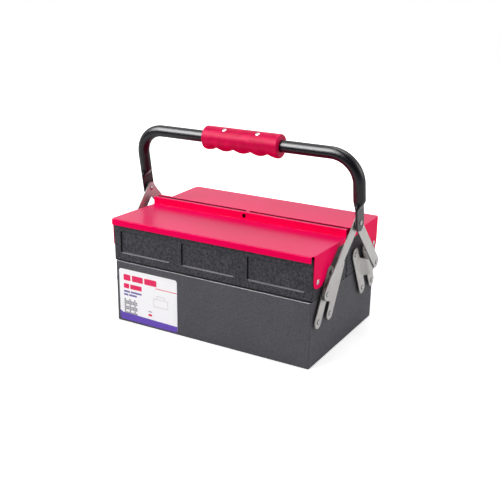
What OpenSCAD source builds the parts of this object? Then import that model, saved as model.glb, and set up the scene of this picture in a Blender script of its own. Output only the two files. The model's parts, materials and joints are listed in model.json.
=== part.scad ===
// Cantilever tool box: a folded steel base, two lidded trays on parallel links,
// and a bent-tube handle whose arms pull the links closed.
// Millimetres. X runs along the box, Y from the front to the back, Z up.
// The origin lies under the middle of the base, on the surface it stands on.
// Pieces are drawn for the back right corner and mirrored to the other three.

/* [Base] */
// Length of the base, end panel to end panel
box_length = 321.5; // [280:0.5:420]
// Width of the base, front to back
box_width = 216.8; // [204:0.4:260]
// Height of the base
base_height = 95.6; // [86:0.2:130]
// Thickness of the base's sheet steel
base_sheet = 1; // [0.8:0.1:1.4]
// Radius of the base's and trays' upright corners
corner_radius = 2; // [1.5:0.25:5]
// Height of the rolled hem inside the base's rim
hem_height = 7; // [4:0.5:10]
// Extra thickness of the rolled hem
hem_sheet = 0.9; // [0.6:0.1:1.2]

/* [Trays] */
// Height of a tray
tray_height = 60; // [56:0.5:75]
// Thickness of the trays' sheet steel
tray_sheet = 0.9; // [0.7:0.1:1.2]
// Gap between the base's rim and a closed tray's floor
seat_gap = 0.4; // [0.3:0.1:1]
// How far a tray's ends stand out past the base's ends
tray_end_overhang = 1.5; // [0.5:0.1:3]
// How far a tray's face stands out past the base's face
tray_face_overhang = 0.2; // [0:0.1:2]
// Gap between the two closed trays
tray_gap = 1; // [0.6:0.1:2]
// Number of pressed panels on a tray's face
panel_count = 3; // [1:1:4]
// Length of a pressed panel
panel_length = 85.5; // [30:0.5:95]
// Height of a pressed panel
panel_height = 33; // [20:0.5:44]
// Distance from one pressed panel to the next
panel_pitch = 107; // [98:0.5:110]
// Height of the panels' middle above the tray's floor
panel_middle = 29.7; // [26:0.1:36]
// Depth that the panels are pressed in
panel_depth = 1.8; // [0.6:0.1:2]

/* [Lids] */
// Thickness of the lids' sheet steel
lid_sheet = 0.9; // [0.7:0.1:1.2]
// How far a lid's edge stands out past the base
lid_overhang = 5.5; // [3:0.25:8]
// Depth of a lid's outer skirt
lid_skirt = 9.2; // [5:0.1:12]
// Gap between a tray's rim and the underside of its lid at the skirt
lid_gap = 4; // [3:0.1:6]
// How much lower a lid lies along its rib than along its skirt
lid_dip = 2.2; // [0:0.1:2.8]
// Height of the folded rib along a lid's inner edge
rib_height = 11.4; // [6:0.1:12]
// Width of the folded rib
rib_width = 5.5; // [3:0.1:7]
// Width of the slot between the two ribs
rib_slot = 6; // [4:0.1:8]
// How far the rib's ends stop short of the lid's ends
rib_inset = 1; // [0.5:0.5:8]
// Diameter of the padlock hole through both ribs
padlock_hole = 6; // [4:0.25:6.5]
// Width of the tab that bridges the slot beside the padlock hole
tab_width = 6; // [4:0.5:12]
// Distance from the box's middle to the tab's middle
tab_offset = 2; // [0:0.5:20]
// Gap between the tab's tip and the front rib
tab_gap = 1.1; // [0.6:0.1:2]

/* [Lid ears] */
// Distance from a tray's face to its lid's pivot
lid_pivot_inset = 11.8; // [9:0.1:16]
// Height of a lid's pivot above the tray's floor
lid_pivot_rise = 26.5; // [22:0.5:30]
// Distance from the lid's pivot to the ear's outer edge
ear_margin = 11.4; // [11:0.1:13]
// Radius of the ear's outer lower corner
ear_radius = 11; // [9:0.5:13]
// Radius of the ear's inner lower corner
ear_toe_radius = 9; // [7:0.5:11]
// Distance from the lid's pivot inward to the toe's centre
ear_toe_reach = 10; // [8:0.5:11]
// Depth of the ear below the lid's pivot
ear_drop = 9.4; // [7:0.1:10]
// Slope of the ear's inner edge
ear_slope = 38.5; // [36:0.5:44]
// Depth of a lid's end flange beside its ear
flange_depth = 6; // [4:0.5:9]
// Length of the relief notch at each end of a lid's outer skirt
corner_relief = 2.5; // [2:0.5:8]

/* [Links] */
// Depth of the links' lower pivots below the base's rim
base_pivot_drop = 30.6; // [26:0.1:40]
// Distance from the base's face to an outer link's lower pivot
outer_pivot_inset = 15.2; // [12:0.1:17]
// Distance between an inner and an outer link's pivots
pivot_spacing = 36.2; // [34:0.1:42]
// Length of a link, pivot to pivot
link_length = 68.2; // [66:0.1:72]
// Lean of the closed links from upright
link_angle = 28.4; // [26:0.1:30]
// Thickness of the links
link_sheet = 1.4; // [1:0.1:2]
// Width of an inner link
inner_link_width = 19; // [16:0.5:22]
// Width of an outer link
outer_link_width = 19; // [13:0.5:20]
// Gap between a lid's ear and the tray's end, and between the ear and the links
ear_gap = 0.3; // [0.2:0.05:0.6]

/* [Wings] */
// Distance of the arm's pivot from the inner link's centre line
arm_pivot_out = 35.8; // [34:0.1:39]
// Distance of the arm's pivot above the lower pivot, along the inner link
arm_pivot_up = 21; // [18:0.1:23]
// Radius of the wing's end round the arm's pivot
wing_radius = 9.5; // [9.5:0.25:11]
// Height on the link where the wing's upper edge leaves it
wing_top = 53.8; // [48:0.1:56]
// Height on the link where the wing's lower edge leaves it
wing_bottom = 15; // [12:0.5:18]
// Distance from the link's edge to the start of the wing's fold
fold_margin = 1; // [0.5:0.1:1.5]
// Width that the wing's fold takes
fold_width = 5.5; // [5:0.1:7]
// Height on the link of the bend in the wing's upper edge
wing_bend_up = 41.6; // [38:0.1:44]
// Distance of that bend from the link's centre line
wing_bend_out = 20.3; // [18:0.1:23]

/* [Arms] */
// Height of the handle's pivot above the closed lids
handle_pivot_rise = 20.1; // [16:0.1:30]
// Width of the arms
arm_width = 18; // [16:0.5:19]
// Thickness of the arms
arm_sheet = 1.6; // [1.2:0.1:2]
// Gap between neighbouring plates in the arms' stack
stack_gap = 0.3; // [0.25:0.05:0.5]
// How far a front arm is bent outward on its way up
arm_bend = 4; // [3.5:0.1:7]
// Length of the flat at each end of a bent arm
arm_flat = 16; // [13:0.5:24]
// Slack round an arm's lower rivet in the wing
arm_slack = 3.3; // [3.2:0.05:3.6]

/* [Handle] */
// Diameter of the handle's tube
tube_diameter = 17.4; // [14:0.1:18]
// Wall of the handle's tube
tube_wall = 1.2; // [1:0.1:2]
// Distance from the handle's pivot to the middle of its top tube
handle_rise = 96.8; // [85:0.1:120]
// Radius of the handle's bends, on the tube's centre line
handle_bend = 40; // [28:1:50]
// Forward lean of the handle from upright
handle_lean = 9.9; // [0:0.1:15]
// Width of the tube's flattened ends
flat_width = 25; // [22:0.5:26]
// Thickness of the tube's flattened ends
flat_thickness = 3.4; // [2.5:0.1:4]
// Height of the flattened stretch above the pivot
flat_rise = 20; // [16:0.5:26]
// Height of the stretch where the flat turns into the round tube
flat_blend = 14; // [10:0.5:18]
// Radius of the handle's pivots
handle_pin = 3; // [2.5:0.1:4]
// Radius of the heads on the handle's pivots
handle_pin_head = 5; // [4.5:0.1:6]

/* [Grip] */
// Length of the grip
grip_length = 122; // [115:1:150]
// How far the grip sits to the right of the handle's middle
grip_offset = 2.2; // [-5:0.1:5]
// Diameter of the grip
grip_diameter = 33; // [28:0.5:34]
// Number of finger bumps under the grip
bump_count = 5; // [3:1:5]
// Distance from one finger bump to the next
bump_pitch = 28; // [24:0.25:30]
// Radius of a finger bump
bump_radius = 26; // [22:0.5:30]
// How far the finger bumps reach below the grip's round
bump_drop = 1.5; // [0.5:0.1:3]
// Height of the grip's underside between bumps, below the tube's middle
groove_level = 13; // [11:0.25:14]
// Distance from the grip's middle to each of its two screws
grip_screw_reach = 27; // [15:1:45]
// Forward tilt of the grip's screws from its top
grip_screw_tilt = 18; // [0:1:30]
// Radius of a grip screw's head
grip_screw_head = 3.4; // [2.5:0.1:4]
// Radius of a grip screw's shank
grip_screw_pin = 1.6; // [1:0.1:2]

/* [Rivets] */
// Radius of a rivet's shank
rivet_pin = 2.5; // [2:0.1:2.8]
// Radius of the rivet through an arm's lower end
arm_rivet_pin = 2.2; // [1.8:0.1:2.3]
// Radius of a rivet's domed head
rivet_head = 3.8; // [3.6:0.1:4.6]
// Height of a rivet's domed head
head_height = 1.35; // [1:0.05:1.6]
// Radius of a rivet's shoulder and of its closed end
rivet_tail = 3.8; // [3.4:0.1:4.2]
// Height of a rivet's closed end
tail_height = 1.4; // [1:0.1:2]
// Radial clearance of a turning pivot
running_fit = 0.08; // [0.05:0.01:0.1]
// Radial clearance of a fixed rivet in its hole
fixed_fit = 0.02; // [0.01:0.01:0.03]
// Clearance along the axis of a turning pivot
axial_gap = 0.05; // [0.03:0.01:0.1]

/* [Label] */
// Length of the label
label_length = 104; // [60:0.5:120]
// Height of the label
label_height = 81; // [50:0.5:81]
// Thickness of the label
label_thickness = 0.3; // [0.2:0.05:0.5]
// Radius of the label's corners
label_corner = 4; // [2:0.5:8]
// Distance from the base's left end to the label
label_margin = 5.5; // [3:0.5:40]
// Distance from the base's foot to the label
label_lift = 3.5; // [3:0.5:5]

/* [Hidden] */
$fn = 64;

charcoal = "#3b3b3f";
lid_red = "#d80a45";
zinc = "#b9b7b4";
rivet_steel = "#cfcfd2";
tube_black = "#17171a";
paper = "#f5f4f6";

// Overall shape
half_length = box_length / 2;
half_width = box_width / 2;
tray_floor_z = base_height + seat_gap;
tray_rim_z = tray_floor_z + tray_height;
lid_under_z = tray_rim_z + lid_gap;
lid_top_z = lid_under_z + lid_sheet;
tray_half_length = half_length + tray_end_overhang;
tray_face_y = half_width + tray_face_overhang;
tray_width = tray_face_y - tray_gap / 2;
tray_middle_y = tray_gap / 2 + tray_width / 2;
lid_edge_y = half_width + lid_overhang;

// Pivots in the Y-Z plane of the back right corner
base_pivot_z = base_height - base_pivot_drop;
handle_pivot_z = lid_top_z + handle_pivot_rise;
outer_pivot_y = half_width - outer_pivot_inset;
inner_pivot_y = outer_pivot_y - pivot_spacing;
link_step = link_length * [-sin(link_angle), cos(link_angle)];
inner_base = [inner_pivot_y, base_pivot_z];
outer_base = [outer_pivot_y, base_pivot_z];
inner_top = inner_base + link_step;
outer_top = outer_base + link_step;
link_out = [cos(link_angle), sin(link_angle)];
link_up = [-sin(link_angle), cos(link_angle)];
arm_base = inner_base + arm_pivot_out * link_out + arm_pivot_up * link_up;
arm_top = [0, handle_pivot_z];
arm_length = norm(arm_top - arm_base);
arm_angle = atan2(arm_base[0], handle_pivot_z - arm_base[1]);
lid_pivot = [half_width - lid_pivot_inset, tray_floor_z + lid_pivot_rise];

// Plates outside the right end panel, from the wall outward
ear_x = tray_half_length + ear_gap;
ear_outer_x = ear_x + lid_sheet;
link_x = ear_outer_x + ear_gap;
link_outer_x = link_x + link_sheet;
head_x = link_outer_x + axial_gap;
front_wing_x = head_x + head_height + stack_gap;
front_arm_low_x = front_wing_x + link_sheet + stack_gap;
front_arm_top_x = front_arm_low_x + arm_bend;
back_arm_x = front_arm_top_x + arm_sheet + stack_gap;
back_wing_x = back_arm_x - stack_gap - link_sheet;
handle_flat_x = back_arm_x + arm_sheet + stack_gap;
leg_x = handle_flat_x + flat_thickness / 2;

// Lids
lid_half_length = ear_outer_x;
rib_in_y = rib_slot / 2;
rib_out_y = rib_in_y + rib_width;
rib_foot_z = lid_top_z - lid_dip;
rib_top_z = rib_foot_z + rib_height;
ear_outer_y = lid_pivot[0] + ear_margin;

// Radius of the oversize hole at the arms' lower pivots
slack_hole = arm_rivet_pin + arm_slack;
tube_radius = tube_diameter / 2;
leg_top = handle_rise - handle_bend;
leg_foot = flat_rise + flat_blend;
grip_top = grip_diameter / 2;
screw_seat = grip_top - 0.7;
cut_margin = 1;

// Helpers

module both_ends() {
    children();
    mirror([1, 0, 0]) children();
}

module to_left() {
    mirror([1, 0, 0]) children();
}

module to_front() {
    mirror([0, 1, 0]) children();
}

// Stands a shape drawn in Y-Z upright and gives it a thickness along X.
module upright(thickness) {
    rotate([90, 0, 90]) linear_extrude(thickness) children();
}

// Moves along the end panel to a point given in Y-Z.
module at(point) {
    translate([0, point[0], point[1]]) children();
}

// Round rod along X between two stations.
module rod(radius, start, end) {
    translate([start, 0, 0]) rotate([0, 90, 0]) cylinder(h = end - start, r = radius);
}

// Turns a profile about an axis along X. The profile's own x is the radius,
// and its own y is the distance along the box.
module turned() {
    rotate([90, 0, 90]) rotate_extrude() children();
}

// Profile of a round shank or collar between two stations.
module shank(radius, start, end) {
    translate([0, start]) square([radius, end - start]);
}

// Profile of a domed head standing on a face at station x.
module dome(x, radius, height) {
    ball = (radius * radius + height * height) / (2 * height);
    intersection() {
        translate([0, x + height - ball]) circle(r = ball);
        shank(radius + cut_margin, x, x + 2 * height);
    }
}

// Shoulder rivet from inside a wall, whose outer face is at wall_x, to its head
// beyond a turning plate.
module shoulder_rivet(wall_x, wall, plate_x, plate_sheet) {
    inside = wall_x - wall;
    head = plate_x + plate_sheet + axial_gap;
    turned() {
        shank(rivet_tail, inside - tail_height, inside);
        shank(rivet_pin, inside, head);
        shank(rivet_tail, wall_x, plate_x - axial_gap);
        dome(head, rivet_head, head_height);
    }
}

// Holes for fixed rivets through the end walls, whose outer faces are at wall_x.
module wall_holes(wall_x, points) {
    for (point = points)
        both_ends() at(point)
            rod(rivet_pin + fixed_fit, wall_x - hem_height, wall_x + cut_margin);
}

module rounded_rectangle(length, width, radius) {
    square([length - 2 * radius, width], center = true);
    square([length, width - 2 * radius], center = true);
    for (x = [-1, 1], y = [-1, 1])
        translate([x * (length / 2 - radius), y * (width / 2 - radius)]) circle(r = radius);
}

module rounded_block(length, width, height, radius) {
    linear_extrude(height) rounded_rectangle(length, width, radius);
}

// Open box folded from sheet.
module tub(length, width, height, sheet) {
    difference() {
        rounded_block(length, width, height, corner_radius);
        translate([0, 0, sheet])
            rounded_block(length - 2 * sheet, width - 2 * sheet, height, corner_radius - sheet / 2);
    }
}

module slot_outline(length, width) {
    circle(d = width);
    translate([0, length]) circle(d = width);
    translate([-width / 2, 0]) square([width, length]);
}

// Base

module base_box() {
    color(charcoal) difference() {
        union() {
            tub(box_length, box_width, base_height, base_sheet);
            rim_hem();
        }
        wall_holes(half_length,
            [inner_base, outer_base, [-inner_base[0], inner_base[1]], [-outer_base[0], outer_base[1]]]);
    }
}

module rim_hem() {
    hem = base_sheet + hem_sheet;
    translate([0, 0, base_height - hem_height]) difference() {
        rounded_block(box_length - base_sheet, box_width - base_sheet, hem_height, corner_radius);
        translate([0, 0, -cut_margin])
            rounded_block(box_length - 2 * hem, box_width - 2 * hem, hem_height + 2 * cut_margin,
                corner_radius - base_sheet / 2);
    }
}

module base_rivets() {
    color(rivet_steel) both_ends() {
        for (point = [inner_base, outer_base]) {
            at(point) shoulder_rivet(half_length, base_sheet, link_x, link_sheet);
            to_front() at(point) shoulder_rivet(half_length, base_sheet, link_x, link_sheet);
        }
    }
}

module label() {
    middle_x = -half_length + label_margin + label_length / 2;
    color(paper) translate([middle_x, -half_width, label_lift + label_height / 2])
        rotate([90, 0, 0])
            rounded_block(label_length, label_height, label_thickness, label_corner);
}

// Links

// Flat outline of an inner link: the link itself, and the wing that reaches
// over the outer link to the arm's pivot.
module inner_link_outline() {
    slot_outline(link_length, inner_link_width);
    translate([arm_pivot_out, arm_pivot_up]) circle(r = wing_radius);
    wing_corner = wing_radius * sin(45);
    polygon([
        [0, wing_bottom],
        [inner_link_width / 2, wing_bottom],
        [arm_pivot_out, arm_pivot_up - wing_radius],
        [arm_pivot_out, arm_pivot_up],
        [arm_pivot_out + wing_corner, arm_pivot_up + wing_corner],
        [wing_bend_out, wing_bend_up],
        [inner_link_width / 2, wing_top],
        [0, wing_top]
    ]);
}

// Sheet folded outward by rise between the link and its wing.
module wing_fold(rise) {
    fold_start = inner_link_width / 2 + fold_margin;
    fold_end = fold_start + fold_width;
    far_edge = arm_pivot_out + wing_radius + cut_margin;
    near_edge = -inner_link_width / 2 - cut_margin;
    mitre = link_sheet * tan(atan2(rise, fold_width) / 2);
    translate([0, 0, -inner_link_width]) linear_extrude(link_length + 2 * inner_link_width) polygon([
        [0, near_edge], [0, fold_start], [rise, fold_end], [rise, far_edge],
        [rise + link_sheet, far_edge], [rise + link_sheet, fold_end - mitre],
        [link_sheet, fold_start - mitre], [link_sheet, near_edge]
    ]);
}

module inner_link(rise) {
    difference() {
        translate([link_x, 0, 0]) at(inner_base) rotate([link_angle, 0, 0]) intersection() {
            upright(rise + link_sheet) inner_link_outline();
            wing_fold(rise);
        }
        for (point = [inner_base, inner_top])
            at(point) rod(rivet_pin + running_fit, link_x - cut_margin, link_outer_x + cut_margin);
        at(arm_base) rod(slack_hole, link_x, link_outer_x + rise + cut_margin);
    }
}

module outer_link() {
    difference() {
        translate([link_x, 0, 0]) at(outer_base) rotate([link_angle, 0, 0])
            upright(link_sheet) slot_outline(link_length, outer_link_width);
        for (point = [outer_base, outer_top])
            at(point) rod(rivet_pin + running_fit, link_x - cut_margin, link_outer_x + cut_margin);
    }
}

module front_inner_link_right() {
    color(zinc) to_front() inner_link(front_wing_x - link_x);
}

module front_inner_link_left() {
    color(zinc) to_left() to_front() inner_link(front_wing_x - link_x);
}

module back_inner_link_right() {
    color(zinc) inner_link(back_wing_x - link_x);
}

module back_inner_link_left() {
    color(zinc) to_left() inner_link(back_wing_x - link_x);
}

module front_outer_link_right() {
    color(zinc) to_front() outer_link();
}

module front_outer_link_left() {
    color(zinc) to_left() to_front() outer_link();
}

module back_outer_link_right() {
    color(zinc) outer_link();
}

module back_outer_link_left() {
    color(zinc) to_left() outer_link();
}

// Trays

module tray() {
    difference() {
        union() {
            translate([0, tray_middle_y, tray_floor_z])
                tub(2 * tray_half_length, tray_width, tray_height, tray_sheet);
            pressed_panels(tray_face_y - panel_depth - tray_sheet, panel_depth + tray_sheet / 2, tray_sheet);
        }
        pressed_panels(tray_face_y - panel_depth, panel_depth + cut_margin, 0);
        wall_holes(tray_half_length, [inner_top, outer_top, lid_pivot]);
    }
}

// Blocks for the pressed panels, from y inward face to its depth, grown by a margin.
module pressed_panels(y, depth, margin) {
    for (i = [0 : panel_count - 1])
        translate([(i - (panel_count - 1) / 2) * panel_pitch, y + depth, tray_floor_z + panel_middle])
            rotate([90, 0, 0]) linear_extrude(depth)
                square([panel_length + 2 * margin, panel_height + 2 * margin], center = true);
}

module tray_rivets() {
    both_ends() for (point = [inner_top, outer_top])
        at(point) shoulder_rivet(tray_half_length, tray_sheet, link_x, link_sheet);
}

module lid_rivets() {
    both_ends() at(lid_pivot) shoulder_rivet(tray_half_length, tray_sheet, ear_x, lid_sheet);
}

module back_tray() {
    color(charcoal) tray();
}

module front_tray() {
    color(charcoal) to_front() tray();
}

module back_tray_rivets() {
    color(rivet_steel) tray_rivets();
}

module front_tray_rivets() {
    color(rivet_steel) to_front() tray_rivets();
}

module back_lid_rivets() {
    color(rivet_steel) lid_rivets();
}

module front_lid_rivets() {
    color(rivet_steel) to_front() lid_rivets();
}

// Lids

// Section of a lid across its length: skirt, top and folded rib.
module lid_section() {
    polygon([
        [lid_edge_y, lid_top_z - lid_skirt],
        [lid_edge_y, lid_top_z],
        [rib_out_y, rib_foot_z],
        [rib_out_y, rib_top_z],
        [rib_in_y, rib_top_z],
        [rib_in_y, rib_foot_z - lid_sheet],
        [rib_in_y + lid_sheet, rib_foot_z - lid_sheet],
        [rib_in_y + lid_sheet, rib_top_z - lid_sheet],
        [rib_out_y - lid_sheet, rib_top_z - lid_sheet],
        [rib_out_y - lid_sheet, rib_foot_z - lid_sheet],
        [lid_edge_y - lid_sheet, lid_under_z],
        [lid_edge_y - lid_sheet, lid_top_z - lid_skirt]
    ]);
}

// End flange with the ear that hangs down to the lid's pivot.
module ear_outline() {
    ear_foot_z = lid_pivot[1] - ear_drop;
    tip = [ear_outer_y - ear_radius, ear_foot_z + ear_radius];
    toe = [lid_pivot[0] - ear_toe_reach, ear_foot_z + ear_toe_radius];
    tangent = toe - ear_toe_radius * [sin(ear_slope), cos(ear_slope)];
    flange_z = rib_foot_z - flange_depth;
    outer_top_z = lid_top_z - lid_dip * (lid_edge_y - ear_outer_y) / (lid_edge_y - rib_out_y);
    knee_y = tangent[0] - (flange_z - tangent[1]) / tan(ear_slope);
    translate(tip) circle(r = ear_radius);
    translate(toe) circle(r = ear_toe_radius);
    polygon([
        [rib_out_y, flange_z],
        [knee_y, flange_z],
        tangent,
        toe,
        [toe[0], ear_foot_z],
        [tip[0], ear_foot_z],
        tip,
        [ear_outer_y, tip[1]],
        [ear_outer_y, outer_top_z],
        [rib_out_y, rib_foot_z]
    ]);
}

module lid() {
    difference() {
        union() {
            translate([-lid_half_length, 0, 0]) upright(2 * lid_half_length) lid_section();
            both_ends() translate([ear_x, 0, 0]) upright(lid_sheet) ear_outline();
        }
        both_ends() translate([lid_half_length - rib_inset, -cut_margin, rib_foot_z])
            cube([rib_inset + cut_margin, rib_out_y + cut_margin, rib_height + cut_margin]);
        both_ends() translate([lid_half_length - corner_relief, ear_outer_y, lid_under_z - lid_skirt])
            cube([corner_relief + cut_margin, lid_edge_y, lid_skirt]);
        both_ends() at(lid_pivot) rod(rivet_pin + running_fit, ear_x - cut_margin, ear_outer_x + cut_margin);
        translate([0, rib_out_y + cut_margin, rib_foot_z + rib_height / 2])
            rotate([90, 0, 0]) cylinder(h = rib_out_y + cut_margin, d = padlock_hole);
    }
}

module back_lid() {
    color(lid_red) {
        lid();
        slot_tab();
    }
}

// Tab on the back rib that bridges the slot between the ribs.
module slot_tab() {
    tip_y = tab_gap - rib_slot / 2;
    translate([tab_offset - tab_width / 2, tip_y, rib_top_z - lid_sheet])
        cube([tab_width, rib_in_y + lid_sheet / 2 - tip_y, lid_sheet]);
}

module front_lid() {
    color(lid_red) to_front() lid();
}

// Arms

// Arm hanging from the handle's pivot, bent inward by bend towards its foot.
module arm_plate(bend) {
    low = arm_length - arm_flat;
    end = arm_length + arm_width;
    intersection() {
        translate([-bend, 0, 0]) upright(bend + arm_sheet)
            mirror([0, 1]) slot_outline(arm_length, arm_width);
        rotate([90, 0, 0]) translate([0, 0, -arm_width]) linear_extrude(2 * arm_width) polygon([
            [0, arm_width], [0, -arm_flat], [-bend, -low], [-bend, -end],
            [arm_sheet - bend, -end], [arm_sheet - bend, -low], [arm_sheet, -arm_flat], [arm_sheet, arm_width]
        ]);
    }
}

module arm(x, bend) {
    difference() {
        translate([x, 0, 0]) at(arm_top) rotate([arm_angle, 0, 0]) arm_plate(bend);
        at(arm_top) rod(handle_pin + running_fit, x - cut_margin, x + arm_sheet + cut_margin);
        at(arm_base) rod(arm_rivet_pin + fixed_fit, x - bend - cut_margin, x + arm_sheet + cut_margin);
    }
}

// Rivet fixed in an arm's foot; its shank stands loose in the wing's hole.
module arm_rivet(wing_x, arm_x) {
    at(arm_base) turned() {
        shank(arm_rivet_pin, wing_x, arm_x + arm_sheet);
        dome(arm_x + arm_sheet, rivet_head, head_height);
    }
}

module back_arm_right() {
    color(zinc) arm(back_arm_x, 0);
}

module back_arm_left() {
    color(zinc) to_left() arm(back_arm_x, 0);
}

module front_arm_right() {
    color(zinc) to_front() arm(front_arm_top_x, arm_bend);
}

module front_arm_left() {
    color(zinc) to_left() to_front() arm(front_arm_top_x, arm_bend);
}

module back_arm_rivets() {
    color(rivet_steel) both_ends() arm_rivet(back_wing_x, back_arm_x);
}

module front_arm_rivets() {
    color(rivet_steel) both_ends() to_front() arm_rivet(front_wing_x, front_arm_low_x);
}

// Handle

module handle_rivets() {
    inner_face = front_arm_top_x - axial_gap;
    outer_face = handle_flat_x + flat_thickness + axial_gap;
    color(rivet_steel) both_ends() at(arm_top) turned() {
        shank(handle_pin, inner_face, outer_face);
        dome(outer_face, handle_pin_head, head_height);
        mirror([0, 1]) dome(-inner_face, handle_pin_head, head_height);
    }
}

module handle_frame() {
    at(arm_top) rotate([handle_lean, 0, 0]) children();
}

// Solid run of the handle: two legs, two bends and the top.
module handle_run(radius) {
    both_ends() {
        translate([leg_x, 0, leg_foot]) cylinder(h = leg_top - leg_foot, r = radius);
        translate([leg_x - handle_bend, 0, leg_top]) rotate([90, 0, 0])
            rotate_extrude(angle = 90) translate([handle_bend, 0]) circle(r = radius);
    }
    rod_reach = leg_x - handle_bend;
    translate([0, 0, handle_rise]) rod(radius, -rod_reach, rod_reach);
}

// Flattened end of the tube, from its round tip up to the round section.
module handle_end() {
    slice = 0.5;
    translate([handle_flat_x, 0, 0]) upright(flat_thickness) {
        circle(d = flat_width);
        translate([-flat_width / 2, 0]) square([flat_width, flat_rise]);
    }
    hull() {
        translate([handle_flat_x, -flat_width / 2, flat_rise - slice]) cube([flat_thickness, flat_width, slice]);
        translate([leg_x, 0, leg_foot]) cylinder(h = slice, r = tube_radius, $fn = 32);
    }
}

module handle_tube() {
    color(tube_black) handle_frame() difference() {
        union() {
            difference() {
                handle_run(tube_radius);
                handle_run(tube_radius - tube_wall);
            }
            both_ends() handle_end();
        }
        both_ends() rod(handle_pin + running_fit, handle_flat_x - cut_margin,
            handle_flat_x + flat_thickness + cut_margin);
        grip_screw_holes();
    }
}

// The middle of the grip, on the tube's centre line.
module at_grip() {
    translate([grip_offset, 0, handle_rise]) children();
}

module at_grip_screws() {
    at_grip() for (side = [-1, 1])
        translate([side * grip_screw_reach, 0, 0]) rotate([grip_screw_tilt, 0, 0]) children();
}

module grip_screw_holes() {
    at_grip_screws() cylinder(h = grip_diameter, r = grip_screw_pin + fixed_fit);
}

// Side view of the grip: straight on top, finger bumps underneath.
module grip_side() {
    crest = grip_top + bump_drop;
    translate([-grip_length / 2, -groove_level]) square([grip_length, groove_level + grip_diameter]);
    intersection() {
        translate([-grip_length / 2, -crest]) square([grip_length, crest]);
        for (i = [0 : bump_count - 1])
            translate([(i - (bump_count - 1) / 2) * bump_pitch, bump_radius - crest]) circle(r = bump_radius);
    }
}

// End view of the grip: round, drawn down a little under the fingers.
module grip_end() {
    belly = grip_top - 2 * bump_drop / 3;
    circle(r = grip_top);
    translate([0, belly - grip_top - bump_drop]) circle(r = belly);
}

module grip() {
    color(lid_red) handle_frame() difference() {
        at_grip() intersection() {
            rotate([90, 0, 0]) translate([0, 0, -grip_diameter]) linear_extrude(2 * grip_diameter) grip_side();
            translate([-grip_length / 2, 0, 0]) upright(grip_length) grip_end();
        }
        at_grip() rod(tube_radius + fixed_fit, -grip_length / 2 - cut_margin, grip_length / 2 + cut_margin);
        grip_screw_holes();
        at_grip_screws() translate([0, 0, screw_seat]) cylinder(h = grip_top, r = grip_screw_head + running_fit);
    }
}

module grip_screws() {
    color(rivet_steel) handle_frame() at_grip_screws() rotate_extrude() {
        shank(grip_screw_pin, tube_radius - tube_wall, screw_seat);
        dome(screw_seat, grip_screw_head, head_height);
    }
}

base_box();
base_rivets();
label();
front_inner_link_left();
front_inner_link_right();
back_inner_link_left();
back_inner_link_right();
front_outer_link_left();
front_outer_link_right();
back_outer_link_left();
back_outer_link_right();
front_tray();
front_tray_rivets();
front_lid_rivets();
front_lid();
back_tray();
back_tray_rivets();
back_lid_rivets();
back_lid();
handle_rivets();
front_arm_left();
front_arm_right();
front_arm_rivets();
back_arm_left();
back_arm_right();
back_arm_rivets();
handle_tube();
grip();
grip_screws();
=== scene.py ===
"""Dresses the cantilever tool box: sheet-steel shells with rolled and folded edges,
stamped links and arms, turned rivets, a bent tube with flattened ends and a moulded grip.

Shapes are worked out in millimetres in the object's own frame and scaled once, when a
piece is made. X runs along the box, Y from the front to the back, Z up."""

import json
import math

import bmesh
import bpy
from mathutils import Matrix, Vector
from mathutils.geometry import tessellate_polygon


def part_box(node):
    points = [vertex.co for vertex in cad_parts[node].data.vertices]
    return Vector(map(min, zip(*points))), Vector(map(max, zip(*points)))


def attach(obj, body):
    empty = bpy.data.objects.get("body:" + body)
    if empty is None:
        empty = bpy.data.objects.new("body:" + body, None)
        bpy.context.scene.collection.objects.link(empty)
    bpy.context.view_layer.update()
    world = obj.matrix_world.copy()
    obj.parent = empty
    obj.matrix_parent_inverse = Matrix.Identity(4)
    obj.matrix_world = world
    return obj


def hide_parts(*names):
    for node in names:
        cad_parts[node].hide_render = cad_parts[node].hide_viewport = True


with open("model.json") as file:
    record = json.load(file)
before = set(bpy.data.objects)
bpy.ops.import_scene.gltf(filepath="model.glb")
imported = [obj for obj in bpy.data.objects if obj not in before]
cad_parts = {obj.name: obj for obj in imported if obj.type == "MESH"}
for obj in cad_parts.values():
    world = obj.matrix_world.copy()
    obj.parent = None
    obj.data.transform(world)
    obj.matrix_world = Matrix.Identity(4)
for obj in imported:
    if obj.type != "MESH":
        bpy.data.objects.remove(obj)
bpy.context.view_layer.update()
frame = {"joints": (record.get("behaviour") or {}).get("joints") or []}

MM = 0.001

# ---- Sizes from the frame


def box_mm(node):
    """Lowest and highest corner of a CAD node, in millimetres."""
    low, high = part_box(node)
    return low / MM, high / MM


def pivot_mm(joint):
    """Where a joint turns, in millimetres."""
    found = next(j for j in frame["joints"] if j["name"] == joint)
    return Vector(found["pos_m"]) / MM


base_low, base_high = box_mm("base_box")
tray_low, tray_high = box_mm("back_tray")
lid_high = box_mm("back_lid")[1]
grip_low, grip_high = box_mm("grip")
label_low, label_high = box_mm("label")

HALF_LENGTH = base_high.x
TRAY_HALF_LENGTH = tray_high.x
INNER_BASE = pivot_mm("back_inner_link_fold")
OUTER_BASE = pivot_mm("back_outer_link_fold")
INNER_TOP = pivot_mm("back_tray_level")
OUTER_TOP = INNER_TOP + OUTER_BASE - INNER_BASE
LID_PIVOT = pivot_mm("back_lid_hinge")
HANDLE_PIVOT = pivot_mm("handle_swing")
arm_rivets_high = box_mm("back_arm_rivets")[1]

# Thicknesses, radii and gaps that the boxes don't give
BASE_SHEET = 1.0
HEM_SHEET = 0.9
HEM_HEIGHT = 7.0
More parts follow.
